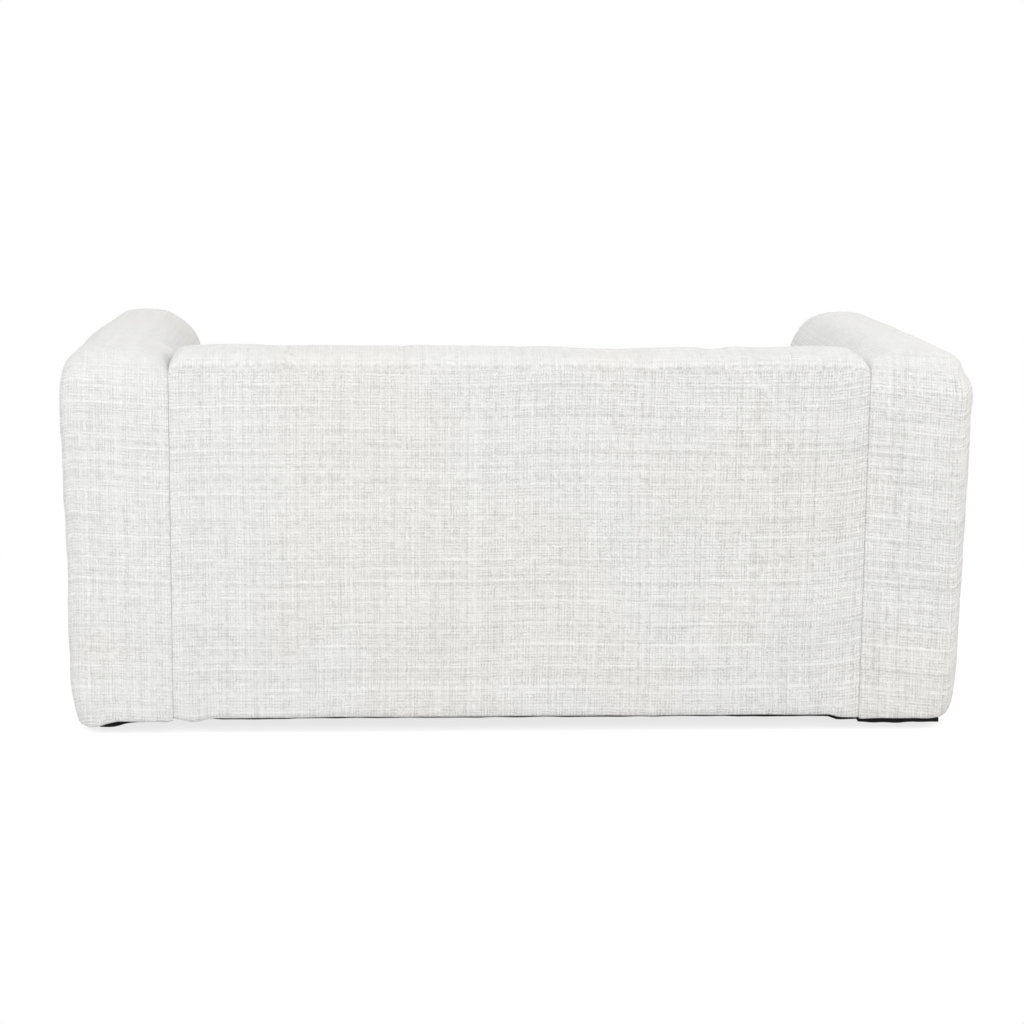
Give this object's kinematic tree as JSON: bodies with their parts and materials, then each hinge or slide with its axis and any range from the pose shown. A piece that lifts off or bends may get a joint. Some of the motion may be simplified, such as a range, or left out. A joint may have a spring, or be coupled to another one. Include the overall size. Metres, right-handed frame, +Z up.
{
  "type": "tuxedo sofa",
  "caption": "Two-seat tuxedo sofa with domed arms as high as its channelled back, loose seat cushions and a bolted, sprung wooden frame.",
  "frame": {"origin": "centre of the sofa's footprint at floor level, under the glides", "axes": "+Z up, +X towards a sitter's left arm, -Y the way the sofa faces"},
  "size_m": [1.65, 0.9, 0.7],
  "materials": {
    "fabric": "woven tweed upholstery, matt, cool off-white",
    "deck_fabric": "plain deck cloth, matt",
    "lining_black": "black spun lining, matt",
    "foam": "open-cell upholstery foam and batting",
    "felt": "pressed insulating felt",
    "webbing": "woven jute webbing",
    "wood": "sawn hardwood and plywood, unfinished",
    "spring_steel": "drawn spring wire",
    "zinc": "zinc-plated fasteners",
    "black_plastic": "moulded black plastic, matt"
  },
  "bodies": {
    "root": {"seat_front_rail": "wood", "seat_rear_rail": "wood", "seat_side_rail_left": "wood", "seat_side_rail_right": "wood", "seat_centre_rail": "wood", "corner_blocks": "wood", "seat_springs": "spring_steel", "spring_clips": "zinc", "spring_tie_wires": "spring_steel", "spring_felt": "felt", "deck_foam": "foam", "deck_cloth": "deck_fabric", "front_border_pad": "foam", "front_border_cover": "fabric", "back_top_rail": "wood", "back_lumbar_rail": "wood", "back_foot_rail": "wood", "back_post_left": "wood", "back_post_right": "wood", "back_stiles": "wood", "back_webbing": "webbing", "back_foam": "foam", "back_top_roll": "foam", "channel_panel": "fabric", "rear_batting": "foam", "rear_cover": "fabric", "back_bolts": "zinc", "arm_bolts": "zinc", "arm_bolt_washers": "zinc", "arm_tee_nuts": "zinc", "glides": "black_plastic", "glide_screws": "zinc", "lining_centre": "lining_black", "lining_left": "lining_black", "lining_right": "lining_black", "arm_ribs_left": "wood", "arm_top_board_left": "wood", "arm_bottom_board_left": "wood", "arm_inner_panel_left": "wood", "arm_outer_panel_left": "wood", "arm_bolt_board_left": "wood", "arm_foam_left": "foam", "arm_cover_left": "fabric", "arm_ribs_right": "wood", "arm_top_board_right": "wood", "arm_bottom_board_right": "wood", "arm_inner_panel_right": "wood", "arm_outer_panel_right": "wood", "arm_bolt_board_right": "wood", "arm_foam_right": "foam", "arm_cover_right": "fabric"},
    "seat_cushion_left": {"cushion_core_left": "foam", "cushion_cover_left": "fabric", "zip_chain_left": "black_plastic"},
    "seat_cushion_right": {"cushion_core_right": "foam", "cushion_cover_right": "fabric", "zip_chain_right": "black_plastic"},
    "zip_slider_left": {"zip_slider_left": "zinc"},
    "zip_slider_right": {"zip_slider_right": "zinc"}
  },
  "joints": [
    {"name": "lift_cushion_left", "type": "slide", "parent": "root", "child": "seat_cushion_left", "axis": [0, 0, 1], "range_m": [0, 0.3]},
    {"name": "zip_left", "type": "slide", "parent": "seat_cushion_left", "child": "zip_slider_left", "axis": [-1, 0, 0], "range_m": [0, 0.448]},
    {"name": "lift_cushion_right", "type": "slide", "parent": "root", "child": "seat_cushion_right", "axis": [0, 0, 1], "range_m": [0, 0.3]},
    {"name": "zip_right", "type": "slide", "parent": "seat_cushion_right", "child": "zip_slider_right", "axis": [1, 0, 0], "range_m": [0, 0.448]}
  ]
}
